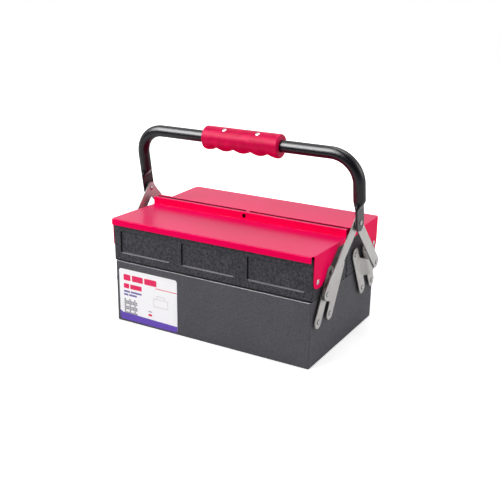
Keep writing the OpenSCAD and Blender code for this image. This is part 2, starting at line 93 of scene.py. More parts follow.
# How far down from its top the base's rim carries a painted highlight
RIM_HIGHLIGHT = 0.75
TRAY_SHEET = 0.9
LID_SHEET = 0.9
LINK_SHEET = 1.4
ARM_SHEET = 1.6
CORNER = 2.0
RIVET_PIN = 2.5
HANDLE_PIN = 3.0
ARM_PIN = 2.2
RIVET_HEAD = 3.8
HANDLE_RIVET_HEAD = 4.2
HEAD_HEIGHT = 1.35
TAIL_RADIUS = 3.8
TAIL_HEIGHT = 1.4
AXIAL_GAP = 0.05
RUNNING_FIT = 0.08
FIXED_FIT = 0.02
STACK_GAP = 0.3
RIVET_HOLE = RIVET_PIN + RUNNING_FIT
# Beyond this radius a rivet's head counts as its rim, which takes a ring of painted shade
RIM_RADIUS = 2.95
ARM_BASE = Vector((0, arm_rivets_high.y - RIVET_HEAD, arm_rivets_high.z - RIVET_HEAD))

# Plates outside the end panel, from the wall outward
LINK_X = box_mm("back_outer_link_right")[0].x
EAR_X = lid_high.x - LID_SHEET
FRONT_WING_X = box_mm("front_inner_link_right")[1].x - LINK_SHEET
BACK_WING_X = box_mm("back_inner_link_right")[1].x - LINK_SHEET
FRONT_ARM_LOW_X = box_mm("front_arm_right")[0].x
FRONT_ARM_TOP_X = box_mm("front_arm_right")[1].x - ARM_SHEET
BACK_ARM_X = box_mm("back_arm_right")[0].x

# ---- Materials


def colour(code):
    """An sRGB hex colour as the linear values that a shader takes."""
    parts = [int(code[i : i + 2], 16) / 255 for i in (1, 3, 5)]
    return tuple(c / 12.92 if c <= 0.04045 else ((c + 0.055) / 1.055) ** 2.4 for c in parts) + (1.0,)


def per_mm(size):
    """Texture scale that gives a pattern about this many millimetres across."""
    return 1 / (size * MM)


def add(owner, kind, inputs, out=0, **settings):
    """Adds a node to a material or the world, with its settings, values and links, and
    gives one of its outputs."""
    made = owner.node_tree.nodes.new("ShaderNode" + kind)
    for setting, value in settings.items():
        setattr(made, setting, value)
    for socket, value in inputs.items():
        if isinstance(value, bpy.types.NodeSocket):
            owner.node_tree.links.new(value, made.inputs[socket])
        else:
            made.inputs[socket].default_value = value
    return made.outputs[out]


def new_material(name, **uniform):
    """A material, with the values that are the same all over, and its place socket."""
    material = bpy.data.materials.new(name)
    material.use_nodes = True
    shader = material.node_tree.nodes["Principled BSDF"]
    for socket, value in uniform.items():
        shader.inputs[socket.replace("_", " ")].default_value = value
    return material, add(material, "TexCoord", {}, "Object")


def wire(material, **sources):
    """Links what varies over the surface to the shader's sockets."""
    shader = material.node_tree.nodes["Principled BSDF"]
    for socket, source in sources.items():
        material.node_tree.links.new(source, shader.inputs[socket.replace("_", " ")])
    return material


def textured_powder_coat(name, pit, peak, grain, depth, roughness):
    """Thermoset powder baked on steel: it wrinkles as it cures, so the eye sees a fine
    leathery grain whose peaks catch the light, over an even charcoal colour."""
    material, place = new_material(name, Specular_IOR_Level=0.16)
    size = {"Scale": per_mm(grain), "Detail": 4.0, "Roughness": 0.62}
    noise = add(material, "TexNoise", {"Vector": place, **size})
    wrinkle = add(material, "MapRange", {"Value": noise, "From Min": 0.32, "From Max": 0.68})
    tone = add(material, "MixRGB", {"Fac": wrinkle, "Color1": colour(pit), "Color2": colour(peak)})
    cloud = add(material, "TexNoise", {"Vector": place, "Scale": per_mm(70), "Detail": 2.0})
    levels = {"From Min": 0.3, "From Max": 0.7, "To Min": 0.92, "To Max": 1.06}
    shade = add(material, "MapRange", {"Value": cloud, **levels})
    even = add(material, "VectorMath", {0: tone, "Scale": shade}, operation="SCALE")
    ends = {"To Min": roughness + 0.1, "To Max": roughness - 0.1}
    gloss = add(material, "MapRange", {"Value": wrinkle, **ends})
    bump = add(material, "Bump", {"Height": wrinkle, "Strength": 1.0, "Distance": depth * MM})
    return wire(material, Base_Color=even, Roughness=gloss, Normal=bump)


def baked_enamel(name, deep, bright, specular):
    """Stove enamel sprayed on sheet steel: a saturated glossy red with a faint orange
    peel, which breaks the reflection of the studio into a soft pink haze."""
    material, place = new_material(name, Roughness=0.28, Specular_IOR_Level=specular)
    cloud = add(material, "TexNoise", {"Vector": place, "Scale": per_mm(90), "Detail": 2.0})
    tone = add(material, "MixRGB", {"Fac": cloud, "Color1": colour(deep), "Color2": colour(bright)})
    # Real orange peel is about 1.5 mm across; drawn at 3 mm so that it shows
    peel = add(material, "TexNoise", {"Vector": place, "Scale": per_mm(3), "Detail": 2.0})
    bump = add(material, "Bump", {"Height": peel, "Strength": 0.35, "Distance": 0.02 * MM})
    # Thin sheet is never quite flat, so long reflections waver
    dent = add(material, "TexNoise", {"Vector": place, "Scale": per_mm(110), "Detail": 1.0})
    depth = {"Strength": 0.5, "Distance": 0.8 * MM}
    waver = add(material, "Bump", {"Height": dent, "Normal": bump, **depth})
    return wire(material, Base_Color=tone, Normal=waver)


def hammered_lacquer(name, pit, peak, specular):
    """Lacquer that runs smooth over rounded steel: glossy, with small pits that sparkle
    where the metal turns to the light."""
    material, place = new_material(name, Specular_IOR_Level=specular)
    # Real pits are about 0.8 mm; drawn at 1.8 mm so that they show
    size = {"Scale": per_mm(1.8), "Detail": 3.0, "Roughness": 0.6}
    pits = add(material, "TexNoise", {"Vector": place, **size})
    tone = add(material, "MixRGB", {"Fac": pits, "Color1": colour(pit), "Color2": colour(peak)})
    gloss = add(material, "MapRange", {"Value": pits, "To Min": 0.3, "To Max": 0.12})
    bump = add(material, "Bump", {"Height": pits, "Strength": 1.0, "Distance": 0.25 * MM})
    return wire(material, Base_Color=tone, Roughness=gloss, Normal=bump)


def moulded_vinyl(name, deep, bright):
    """Soft vinyl from a blasted mould: a matt sheen with a fine leather grain, in a red
    that clouds from deeper to brighter."""
    material, place = new_material(name, Specular_IOR_Level=0.12)
    # The mould's grain is about 0.6 mm; drawn at 1.6 mm so that it shows
    grain = add(material, "TexVoronoi", {"Vector": place, "Scale": per_mm(1.6)}, feature="SMOOTH_F1")
    cloud = add(material, "TexNoise", {"Vector": place, "Scale": per_mm(13), "Detail": 4.0})
    tone = add(material, "MixRGB", {"Fac": cloud, "Color1": colour(deep), "Color2": colour(bright)})
    gloss = add(material, "MapRange", {"Value": cloud, "To Min": 0.42, "To Max": 0.3})
    bump = add(material, "Bump", {"Height": grain, "Strength": 0.7, "Distance": 0.2 * MM})
    return wire(material, Base_Color=tone, Roughness=gloss, Normal=bump)


def zinc_plate(name, dull, bright, roughness, metallic=0.85):
    """Bright zinc on stamped steel: a pale satin grey with the rolling lines of the
    strip and slightly cloudy plating."""
    material, place = new_material(name, Metallic=metallic)
    # Strip is rolled along its length, so the lines are stretched 12 to 1. Real ones are
    # about 0.3 mm apart; drawn at 1.2 mm so that they show
    stretched = add(material, "Mapping", {"Vector": place, "Scale": (1.0, 1.0, 1 / 12)})
    rolling = add(material, "TexNoise", {"Vector": stretched, "Scale": per_mm(1.2), "Detail": 3.0})
    cloud = add(material, "TexNoise", {"Vector": place, "Scale": per_mm(14), "Detail": 3.0})
    tone = add(material, "MixRGB", {"Fac": cloud, "Color1": colour(dull), "Color2": colour(bright)})
    ends = {"To Min": roughness - 0.1, "To Max": roughness + 0.12}
    gloss = add(material, "MapRange", {"Value": rolling, **ends})
    bump = add(material, "Bump", {"Height": rolling, "Strength": 0.4, "Distance": 0.03 * MM})
    return wire(material, Base_Color=tone, Roughness=gloss, Normal=bump)


def coated_card(name, shade):
    """Printed card under a clear film: flat ink with the faint tooth of the paper."""
    material, place = new_material(name, Roughness=0.38, Specular_IOR_Level=0.4)
    # Paper's tooth is about 0.1 mm; drawn at 0.9 mm so that it shows
    tooth = add(material, "TexNoise", {"Vector": place, "Scale": per_mm(0.9), "Detail": 2.0})
    ink = add(material, "MapRange", {"Value": tooth, "To Min": 0.96, "To Max": 1.02})
    tone = add(material, "VectorMath", {0: colour(shade)[:3], "Scale": ink}, operation="SCALE")
    bump = add(material, "Bump", {"Height": tooth, "Strength": 0.2, "Distance": 0.01 * MM})
    return wire(material, Base_Color=tone, Normal=bump)


# Real wrinkles are 0.5 to 1 mm across; drawn at 1.8 and 3 mm so that they show
base_coat = textured_powder_coat("charcoal_powder_coat", "#454449", "#57565c", 1.8, 0.05, 0.5)
tray_coat = textured_powder_coat("charcoal_wrinkle_coat", "#1b1a1f", "#4c4b51", 3.0, 0.2, 0.46)
# Painted shade: a near-black copy of the coat for the tray's steep folds and its underside, where shade
# falls
painted_shade_coat = textured_powder_coat("charcoal_painted_shade", "#0b0b0c", "#151517", 3.0, 0.05, 0.6)
# Painted highlight: a lighter, glossier charcoal for the base's rim and the ledge under each tray panel
painted_highlight_coat = hammered_lacquer("charcoal_painted_highlight", "#69686e", "#8b8a90", 0.5)
lid_enamel = baked_enamel("red_baked_enamel", "#de0450", "#f00a66", 0.15)
# Painted light: a brighter copy of the red with almost no reflection, for the faces that hang down
lit_enamel_copy = baked_enamel("red_enamel_lit_copy", "#ee0145", "#fd0360", 0.015)
# Painted shade: a dark red for the hollow of the rib and the slot between the ribs
painted_shade_red = baked_enamel("red_enamel_painted_shade", "#560615", "#7a0a22", 0.015)
tube_lacquer = hammered_lacquer("black_hammered_lacquer", "#040307", "#13111a", 0.42)
grip_vinyl = moulded_vinyl("red_moulded_vinyl", "#a4002a", "#f60a5e")
strip_zinc = zinc_plate("zinc_plated_strip", "#b5b2b0", "#d1cfcd", 0.4)
sheared_zinc = zinc_plate("zinc_on_sheared_edge", "#6f6d6a", "#8b8986", 0.55, 0.15)
rivet_zinc = zinc_plate("bright_zinc_rivet", "#a8a8a9", "#cececf", 0.22)
# Painted shade: dark zinc for the ring round each rivet's head
painted_shade_rivet_rim = zinc_plate("zinc_rivet_rim_painted_shade", "#4b4a49", "#656462", 0.5, 0.3)
card_white = coated_card("label_white", "#fbfafc")
ink_pink = coated_card("label_pink_ink", "#e9125c")
ink_purple = coated_card("label_purple_ink", "#6445b4")
ink_violet = coated_card("label_violet_ink", "#7a6aa8")
ink_grey = coated_card("label_grey_ink", "#8c8890")
ink_pale = coated_card("label_pale_ink", "#dcdade")

# What a stamped plate takes on its faces and its edge, and a rivet on its head and rim
STAMPED = [strip_zinc, sheared_zinc]
PEENED = [rivet_zinc, painted_shade_rivet_rim]

# ---- Mesh helpers

# Only points of a tub this close to its outer face are pressed in
FACE_BAND = 4.0


def ease(share):
    """Turns an even run from 0 to 1 into one that starts and stops softly."""
    return share * share * (3 - 2 * share)


def make_piece(name, bm, body, nodes, materials, crease=35):
    """Scales a mesh from millimetres, dresses it and hangs it on its CAD body."""
    bmesh.ops.remove_doubles(bm, verts=bm.verts, dist=1e-4)
    bmesh.ops.recalc_face_normals(bm, faces=bm.faces)
    bmesh.ops.scale(bm, vec=(MM, MM, MM), verts=bm.verts)
    mesh = bpy.data.meshes.new(name)
    bm.to_mesh(mesh)
    bm.free()
    mesh.shade_smooth()
    mesh.set_sharp_from_angle(angle=math.radians(crease))
    for material in materials:
        mesh.materials.append(material)
    piece = bpy.data.objects.new(name, mesh)
    bpy.context.scene.collection.objects.link(piece)
    shading = piece.modifiers.new("face_weighted_normals", "WEIGHTED_NORMAL")
    shading.keep_sharp = True
    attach(piece, body)
    if nodes:
        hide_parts(*nodes)
    return piece


def join(parts):
    """Several meshes as one."""
    whole = bmesh.new()
    for part in parts:
        mesh = bpy.data.meshes.new("part")
        part.to_mesh(mesh)
        part.free()
        whole.from_mesh(mesh)
        bpy.data.meshes.remove(mesh)
    return whole


def mirror(bm, x=1, y=1):
    """Flips a mesh to another corner of the box."""
    bmesh.ops.scale(bm, vec=(x, y, 1), verts=bm.verts)
    if x * y < 0:
        bmesh.ops.reverse_faces(bm, faces=bm.faces)
    return bm


def arc(centre, radius, start, end, steps=12):
    """Points round an arc, from one angle to another in degrees."""
    angles = [math.radians(start + (end - start) * i / steps) for i in range(steps + 1)]
    return [(centre[0] + radius * math.cos(a), centre[1] + radius * math.sin(a)) for a in angles]


def hole(centre, radius, steps=32):
    """A round hole's outline, clockwise."""
    return arc(centre, radius, 360, 0, steps)[:-1]


def bar(length, width):
    """Outline of a strap with round ends, standing on its lower pivot."""
    radius = width / 2
    return arc((0, 0), radius, 180, 360, 20) + arc((0, length), radius, 0, 180, 20)


def inset_loop(loop, distance):
    """A loop moved sideways towards the material, with mitred corners."""
    moved = []
    count = len(loop)
    for i in range(count):
        before, here, after = Vector(loop[i - 1]), Vector(loop[i]), Vector(loop[(i + 1) % count])
        first, second = (here - before).normalized(), (after - here).normalized()
        one, two = Vector((-first.y, first.x)), Vector((-second.y, second.x))
        mitre = (one + two) / max(0.3, 1 + one.dot(two))
        moved.append(here + mitre * distance)
    return moved


def skin(bm, rings):
    """Faces between each ring of points and the next."""
    for left, right in zip(rings, rings[1:]):
        for i in range(len(left)):
            bm.faces.new((left[i - 1], left[i], right[i], right[i - 1]))


def plate(outline, holes, thickness, edge, edge_slot=0):
    """A flat plate from z 0 up, with rounded edges, which may take a material of their
    own. The outline runs counter-clockwise and the holes clockwise."""
    bm = bmesh.new()
    rise = edge * (1 - math.sin(math.radians(45)))
    run = edge * (1 - math.cos(math.radians(45)))
    profile = [
        (edge, thickness),
        (run, thickness - rise),
        (0, thickness - edge),
        (0, edge),
        (run, rise),
        (edge, 0),
    ]
    rings = []
    for distance, height in profile:
        level = []
        for loop in [outline] + holes:
            level.append([bm.verts.new((p.x, p.y, height)) for p in inset_loop(loop, distance)])
        rings.append(level)
    for upper, lower in zip(rings, rings[1:]):
        for top, bottom in zip(upper, lower):
            for i in range(len(top)):
                side = bm.faces.new((top[i - 1], bottom[i - 1], bottom[i], top[i]))
                side.material_index = edge_slot
    for level, up in ((rings[0], True), (rings[-1], False)):
        flat = [v for loop in level for v in loop]
        for corner in tessellate_polygon([[v.co for v in loop] for loop in level]):
            points = [flat[i] for i in corner]
            face = bm.faces.new(points)
            face.normal_update()
            if (face.normal.z > 0) != up:
                face.normal_flip()
    return bm


def score(bm, axis, positions):
    """Cuts a mesh along planes, so that it can bend there."""
    normal = Vector((axis == 0, axis == 1, axis == 2))
    for position in positions:
        bmesh.ops.bisect_plane(
            bm,
            geom=bm.verts[:] + bm.edges[:] + bm.faces[:],
            plane_co=normal * position,
            plane_no=normal,
            dist=1e-5,
        )


def joggle(bm, axis, stations):
    """Offsets a plate out of its plane along an axis. Each station is a place on the
    axis and the offset there, and the sheet keeps its thickness on the slope."""
    score(bm, axis, [place for place, offset in stations])
    for v in bm.verts:
        here = min(max(v.co[axis], stations[0][0]), stations[-1][0])
        height = v.co.z
        slopes = []
        for (a, low), (b, high) in zip(stations, stations[1:]):
            if a - 1e-4 <= here <= b + 1e-4:
                share = min(1, max(0, (here - a) / (b - a)))
                offset = low + (high - low) * share
                slopes.append(math.atan2(high - low, b - a))
        slope = sum(slopes) / len(slopes)
        v.co[axis] -= height * math.sin(slope)
        v.co.z = offset + height * math.cos(slope)


def rounded_path(points, radii, side, steps=5):
    """A folded sheet's line through corner points, with a radius for each fold. Gives
    its stations: the distance along it, the point, and the way out of the sheet."""
    stations = []
    corners = [Vector(p) for p in points]

    def put(point, direction):
        """Adds a station."""
        out = Vector((-direction.y, direction.x)) * side
        gone = stations[-1][0] + (point - stations[-1][1]).length if stations else 0
        stations.append((gone, point, out))

    put(corners[0], (corners[1] - corners[0]).normalized())
    for before, here, after, radius in zip(corners, corners[1:], corners[2:], radii):
        first, second = (here - before).normalized(), (after - here).normalized()
        turn = math.atan2(first.cross(second), first.dot(second))
        setback = radius * abs(math.tan(turn / 2))
        centre = here - first * setback + Vector((-first.y, first.x)) * math.copysign(radius, turn)
        for i in range(steps + 1):
            spin = Matrix.Rotation(turn * i / steps, 2)
            arm = here - first * setback - centre
            put(centre + spin @ arm, spin @ first)
    put(corners[-1], (corners[-1] - corners[-2]).normalized())
    return stations


def along(stations, point):
    """Distance along a folded line of the place nearest to a point."""
    best = None
    for (start, a, _), (end, b, _) in zip(stations, stations[1:]):
        span = b - a
        share = 0
        if span.length > 1e-9:
            share = min(1, max(0, (Vector(point) - a).dot(span) / span.length_squared))
        gap = (a + span * share - Vector(point)).length
        if best is None or gap < best[0] - 1e-9:
            best = (gap, start + (end - start) * share)
    return best[1]


def on_path(stations, distance, height):
    """Point at a distance along a folded line and a height out of it."""
    for (start, a, out_a), (end, b, out_b) in zip(stations, stations[1:]):
        if distance <= end + 1e-6:
            break
    share = (distance - start) / (end - start) if end > start else 0
    return a.lerp(b, share) + out_a.lerp(out_b, share) * height


def tub(half_x, low_y, high_y, corner, profile, xs, zs, press=None):
    """An open sheet box from rings of a rounded rectangle. The profile lists each
    ring's inset from the outer face and its height, from under the floor, over the
    rim and down to the inner floor. Heights in zs are put into every long rise."""
    bm = bmesh.new()
    middle = (low_y + high_y) / 2
    half_y = (high_y - low_y) / 2
    steps = []
    for (inset, z), (next_inset, next_z) in zip(profile, profile[1:]):
        steps.append((inset, z))
        between = [h for h in zs if min(z, next_z) + 0.01 < h < max(z, next_z) - 0.01]
        for h in sorted(between, reverse=next_z < z):
            share = (h - z) / (next_z - z)
            steps.append((inset + (next_inset - inset) * share, h))
    steps.append(profile[-1])

    def ring(inset, z):
        """Points round the box at one inset and height."""
        radius = max(corner - inset, 0.4)
        reach_x, reach_y = half_x - inset - radius, half_y - inset - radius
        flat = [x for x in xs if abs(x) < reach_x - 0.2]
        points = []
        for sign_x, sign_y, start, row in (
            (1, 1, 0, sorted(flat, reverse=True)),
            (-1, 1, 90, []),
            (-1, -1, 180, sorted(flat)),
            (1, -1, 270, []),
        ):
            points += arc((sign_x * reach_x, sign_y * reach_y), radius, start, start + 90, 6)
            points += [(x, sign_y * (reach_y + radius)) for x in row]
        level = []
        for x, y in points:
            shift = press(x, z) if press and y > half_y - FACE_BAND else 0
            level.append(bm.verts.new((x, y + middle - shift, z)))
        return level

    rings = [ring(inset, z) for inset, z in steps]
    skin(bm, rings)
    bm.faces.new(list(reversed(rings[0])))
    bm.faces.new(rings[-1])
    return bm


def turned(profile, steps=40):
    """A round piece about an axis along X, from (x, radius) points. The rim of its head
    has the second material."""
    bm = bmesh.new()
    rings = []
    for x, radius in profile:
        if radius < 1e-6:
            rings.append([bm.verts.new((x, 0, 0))])
            continue
        angles = [2 * math.pi * i / steps for i in range(steps)]
        rings.append([bm.verts.new((x, radius * math.cos(a), radius * math.sin(a))) for a in angles])
    for left, right in zip(rings, rings[1:]):
        for i in range(steps):
            corners = [left[i - 1], left[i]] if len(left) > 1 else [left[0]]
            corners += [right[i], right[i - 1]] if len(right) > 1 else [right[0]]
            if len(corners) > 2:
                face = bm.faces.new(corners)
                # Faces beyond RIM_RADIUS take the painted shade of the rim
                face.material_index = int(min(v.co.yz.length for v in corners) > RIM_RADIUS)
    return bm


def drill(piece, start, end, radius):
    """Bores a round hole through a finished piece, between two points in mm."""
    axis = end - start
    cutter_mesh = bpy.data.meshes.new("drill")
    bm = bmesh.new()
    bmesh.ops.create_cone(
        bm, cap_ends=True, segments=32, radius1=radius * MM, radius2=radius * MM, depth=axis.length * MM
    )
    bmesh.ops.rotate(bm, matrix=axis.to_track_quat("Z", "Y").to_matrix(), verts=bm.verts)
    bmesh.ops.translate(bm, vec=(start + end) / 2 * MM, verts=bm.verts)
    bm.to_mesh(cutter_mesh)
    bm.free()
    cutter = bpy.data.objects.new("drill", cutter_mesh)
    bpy.context.scene.collection.objects.link(cutter)
    cut = piece.modifiers.new("hole", "BOOLEAN")
    cut.object = cutter
    cut.solver = "EXACT"
    piece.modifiers.move(len(piece.modifiers) - 1, 0)
    shading = piece.modifiers["face_weighted_normals"]
    shading.show_viewport = False
    bpy.context.view_layer.update()
    cut_mesh = bpy.data.meshes.new_from_object(piece.evaluated_get(bpy.context.evaluated_depsgraph_get()))
    piece.modifiers.remove(cut)
    piece.data = cut_mesh
    shading.show_viewport = True
    bpy.data.objects.remove(cutter)


# ---- Base and trays


def rolled_rim(top, sheet, hem, depth):
    """Profile over a rim whose edge is folded back inside."""
    thick = sheet + hem
    over = [(thick / 2 + x, top - thick / 2 + z) for x, z in arc((0, 0), thick / 2, 180, 0, 8)]
    return over + [
        (thick, top - depth + hem / 2),
        (thick - hem * 0.15, top - depth + hem * 0.15),
        (sheet + hem * 0.4, top - depth),
        (sheet, top - depth - 0.1),
    ]


def make_base():
    """Base: bottom folds, plain walls and a hem rolled inside the rim."""
    fold = 1.4
    top = base_high.z
    inner = BASE_SHEET
    profile = [(inset, z) for inset, z in arc((fold, fold), fold, 270, 180, 5)]
    profile += rolled_rim(top, BASE_SHEET, HEM_SHEET, HEM_HEIGHT)
    profile += [(inner + x, z) for x, z in arc((fold, BASE_SHEET + fold), fold, 180, 270, 5)]
    bm = tub(HALF_LENGTH, base_low.y, base_high.y, CORNER, profile, [], [])
    for face in bm.faces:
        # The rim's faces take the painted highlight
        face.material_index = int(face.calc_center_median().z > top - RIM_HIGHLIGHT)
    make_piece("base_shell", bm, "base", ["base_box"], [base_coat, painted_highlight_coat])


PANEL_PITCH = 107.0
PANEL_HALF_LENGTH = 42.75
PANEL_HALF_HEIGHT = 16.5
PANEL_DEPTH = 2.4
PANEL_CORNER = 1.6
PANEL_FOLD = 1.5
PANEL_Z = tray_low.z + 29.7
# Painted shade on a tray's underside, up to this height, and on the steep folds over
# # and beside a panel. Painted highlight on the ledge under a panel
UNDERSIDE = 2.8
STEEP = 0.68


def panel_press(x, z):
    """How far the tray's face is pressed in at a place."""
    nearest = min((-PANEL_PITCH, 0, PANEL_PITCH), key=lambda centre: abs(x - centre))
    across = abs(x - nearest) - PANEL_HALF_LENGTH + PANEL_CORNER
    up = abs(z - PANEL_Z) - PANEL_HALF_HEIGHT + PANEL_CORNER
    outside = math.hypot(max(across, 0), max(up, 0)) + min(max(across, up), 0) - PANEL_CORNER
    share = min(1, max(0, 0.5 - outside / PANEL_FOLD))
    return PANEL_DEPTH * ease(share)


def fold_lines(edge):
    """Mesh lines close together where the panel's border folds."""
    return [edge + PANEL_FOLD * i / 6 for i in range(-6, 7)]


def make_tray(side, y):
    """Tray: a folded tub with three panels pressed into its outer face."""
    fold = 2.0
    top = tray_high.z
    floor = tray_low.z
    sheet = TRAY_SHEET
    profile = [(inset, floor + z) for inset, z in arc((fold, fold), fold, 270, 180, 5)]
    profile += [(sheet / 2 + x, top - sheet / 2 + z) for x, z in arc((0, 0), sheet / 2, 180, 0, 6)]
    profile += [(sheet + x, floor + z) for x, z in arc((fold, sheet + fold), fold, 180, 270, 5)]
    xs = []
    for centre in (-PANEL_PITCH, 0, PANEL_PITCH):
        xs += fold_lines(centre - PANEL_HALF_LENGTH) + fold_lines(centre + PANEL_HALF_LENGTH)
    zs = fold_lines(PANEL_Z - PANEL_HALF_HEIGHT) + fold_lines(PANEL_Z + PANEL_HALF_HEIGHT)
    zs.append(floor + UNDERSIDE)
    bm = tub(TRAY_HALF_LENGTH, tray_low.y, tray_high.y, CORNER, profile, xs, zs, panel_press)
    bm.normal_update()
    for face in bm.faces:
        middle = face.calc_center_median()
        in_band = abs(middle.z - PANEL_Z) < PANEL_HALF_HEIGHT + PANEL_FOLD
        on_face = middle.y > tray_high.y - FACE_BAND and abs(middle.x) < TRAY_HALF_LENGTH - CORNER
        pressed = in_band and on_face
        # Painted shade on the underside and on the folds that face right or down; painted highlight on
        # the ledge that faces up
        under = middle.z < floor + UNDERSIDE and face.normal.z < STEEP
        if under or pressed and max(face.normal.x, -face.normal.z) > STEEP:
            face.material_index = 1
        elif pressed and face.normal.z > STEEP:
            face.material_index = 2
    mirror(bm, y=y)
    coats = [tray_coat, painted_shade_coat, painted_highlight_coat]
    make_piece(f"{side}_tray_shell", bm, f"{side}_tray", [f"{side}_tray"], coats)


# ---- Lids

LID_TOP = 160.9
LID_DIP = 2.2
LID_SKIRT = 9.2
RIB_FOOT = LID_TOP - LID_DIP
RIB_IN = 3.0
RIB_OUT = 8.5
RIB_INSET = 1.0
CORNER_RELIEF = 2.5
PADLOCK_HOLE = 3.0
EAR_OUTER_Y = LID_PIVOT.y + 11.4
EAR_RADIUS = 11.0
EAR_FOOT_Z = LID_PIVOT.z - 9.4
EAR_TOE = Vector((LID_PIVOT.y - 10.0, EAR_FOOT_Z + 9.0))
EAR_TOE_RADIUS = 9.0
EAR_SLOPE = 38.5
FLANGE_DEPTH = 6.0
SKIRT_FOLD = 1.5
END_FOLD = 1.2
RIB_FOLDS = (1.6, 1.0, 1.0)
LID_EDGE = 0.25
TAB_LEFT = -1.0
TAB_RIGHT = 5.0
TAB_GAP = 1.1
TAB_LAP = 0.4
TAB_CORNER = 1.2
# A lid's faces hang down where their normals lean further out than this
HANGING = 0.6


def make_lid(side, y):
    """Lid: one flat blank with its rivet and padlock holes, folded to a skirt along its
    outer edge, a hollow rib along the ridge and an ear at each end."""
    half = LID_SHEET / 2
    middle_z = LID_TOP - half
    rib_top = lid_high.z
    section = rounded_path(
        [
            (lid_high.y - half, LID_TOP - LID_SKIRT),
            (lid_high.y - half, middle_z),
            (RIB_OUT - half, middle_z - LID_DIP),
            (RIB_OUT - half, rib_top - half),
            (RIB_IN + half, rib_top - half),
            (RIB_IN + half, RIB_FOOT - LID_SHEET),
        ],
        (SKIRT_FOLD,) + RIB_FOLDS,
        -1,
    )
    end = rounded_path(
        [(0, 0), (lid_high.x - half, 0), (lid_high.x - half, EAR_FOOT_Z - middle_z - 1)],
        (END_FOLD,),
        1,
    )

    # The lid's top is the straight run between the skirt's fold and the rib's
    top_start, top_from, top_out = section[6]
    top_way = Vector((-top_out.y, top_out.x))

    def blank(point_y, point_z):
        """Place in the flat blank of a point of the end flange."""
        reach = Vector((point_y, point_z)) - top_from
        return along(end, (lid_high.x - half, reach.dot(top_out))), top_start + reach.dot(top_way)

    skirt_end = lid_high.x - CORNER_RELIEF
    relief_y = along(section, (EAR_OUTER_Y + 0.6, middle_z))
    rib_start = along(section, (RIB_OUT - half, RIB_FOOT - half))
    rib_end = section[-1][0]
    rib_reach = lid_high.x - RIB_INSET
    tip_centre = (EAR_OUTER_Y - EAR_RADIUS, EAR_FOOT_Z + EAR_RADIUS)
    slope = math.radians(EAR_SLOPE)
    toe_edge = EAR_TOE - EAR_TOE_RADIUS * Vector((math.sin(slope), math.cos(slope)))
    flange_z = RIB_FOOT - FLANGE_DEPTH
    knee_y = toe_edge.x - (flange_z - toe_edge.y) / math.tan(slope)
    ear = [(EAR_OUTER_Y, LID_TOP - 3.0), (EAR_OUTER_Y, tip_centre[1])]
    ear += arc(tip_centre, EAR_RADIUS, 0, -90, 14)
    ear += arc(EAR_TOE, EAR_TOE_RADIUS, -90, -90 - EAR_SLOPE, 8)
    ear += [(knee_y, flange_z), (RIB_OUT + 3.0, flange_z)]
    right = [(skirt_end, 0), (skirt_end, relief_y), (along(end, (lid_high.x - half, -2)), relief_y)]
    right += [blank(*point) for point in ear[1:]]
    right += [(blank(RIB_OUT + 3.0, flange_z)[0] - FLANGE_DEPTH, rib_start - 2.0)]
    right += [(rib_reach, rib_start - 1.0), (rib_reach, rib_end)]
    outline = right + [(-px, py) for px, py in reversed(right)]
    holes = [
        hole((0, along(section, (RIB_OUT - half, (RIB_FOOT + rib_top) / 2))), PADLOCK_HOLE),
        hole((0, along(section, (RIB_IN + half, (RIB_FOOT + rib_top) / 2))), PADLOCK_HOLE),
    ]
    pivot = blank(LID_PIVOT.y, LID_PIVOT.z)
    holes += [hole((sign * pivot[0], pivot[1]), RIVET_HOLE) for sign in (-1, 1)]
    bm = plate(outline, holes, LID_SHEET, LID_EDGE)
    score(bm, 1, [station[0] for station in section[1:-1]])
    score(bm, 0, [sign * station[0] for sign in (-1, 1) for station in end[1:-1]])
    for v in bm.verts:
        bent = on_path(end, abs(v.co.x), v.co.z - half)
        placed = on_path(section, v.co.y, bent.y)
        v.co = (math.copysign(bent.x, v.co.x), placed.x, placed.y)
    bm.normal_update()
    # Painted shade in the hollow of the rib and the slot between the ribs
    for face in bm.faces:
        middle = face.calc_center_median()
        hidden = middle.y < RIB_OUT - half and RIB_FOOT - LID_SHEET < middle.z < rib_top - half
        # Faces that hang down take the lit copy of the enamel, painted light
        face.material_index = 2 if hidden else int(abs(face.normal.z) < HANGING)
    parts = [bm]
    if side == "back":
        parts.append(slot_tab(rib_top))
    bm = mirror(join(parts), y=y)
    coats = [lid_enamel, lit_enamel_copy, painted_shade_red]
    make_piece(f"{side}_lid_shell", bm, f"{side}_lid", [f"{side}_lid"], coats)


def slot_tab(rib_top):
    """Small tongue that bridges the slot beside the padlock hole."""
    tip, root = TAB_GAP - RIB_IN, RIB_IN + TAB_LAP
    radius = TAB_CORNER
    outline = [(TAB_LEFT, root)]
    outline += arc((TAB_LEFT + radius, tip + radius), radius, 180, 270, 5)
    outline += arc((TAB_RIGHT - radius, tip + radius), radius, 270, 360, 5)
    outline += [(TAB_RIGHT, root)]
    bm = plate(outline, [], LID_SHEET, LID_EDGE)
    bmesh.ops.translate(bm, vec=(0, 0, rib_top - LID_SHEET), verts=bm.verts)
    return bm


# ---- Links and arms

LINK = Vector((INNER_TOP.y - INNER_BASE.y, INNER_TOP.z - INNER_BASE.z))
LINK_UP = LINK.normalized()
LINK_OUT = Vector((LINK_UP.y, -LINK_UP.x))
INNER_WIDTH = 19.0
OUTER_WIDTH = 19.0
ARM_WIDTH = 18.0
WING_RADIUS = 9.5
WING_TOP = 53.8
WING_BOTTOM = 15.0
WING_BEND = (20.3, 41.6)
FOLD_START = INNER_WIDTH / 2 + 0.3
FOLD_WIDTH = 7.6
FOLD_STEPS = 10
SLACK_HOLE = 5.5
WING_TOE = 3.0
ARM_FLAT = 16.0
STAMPED_EDGE = 0.3


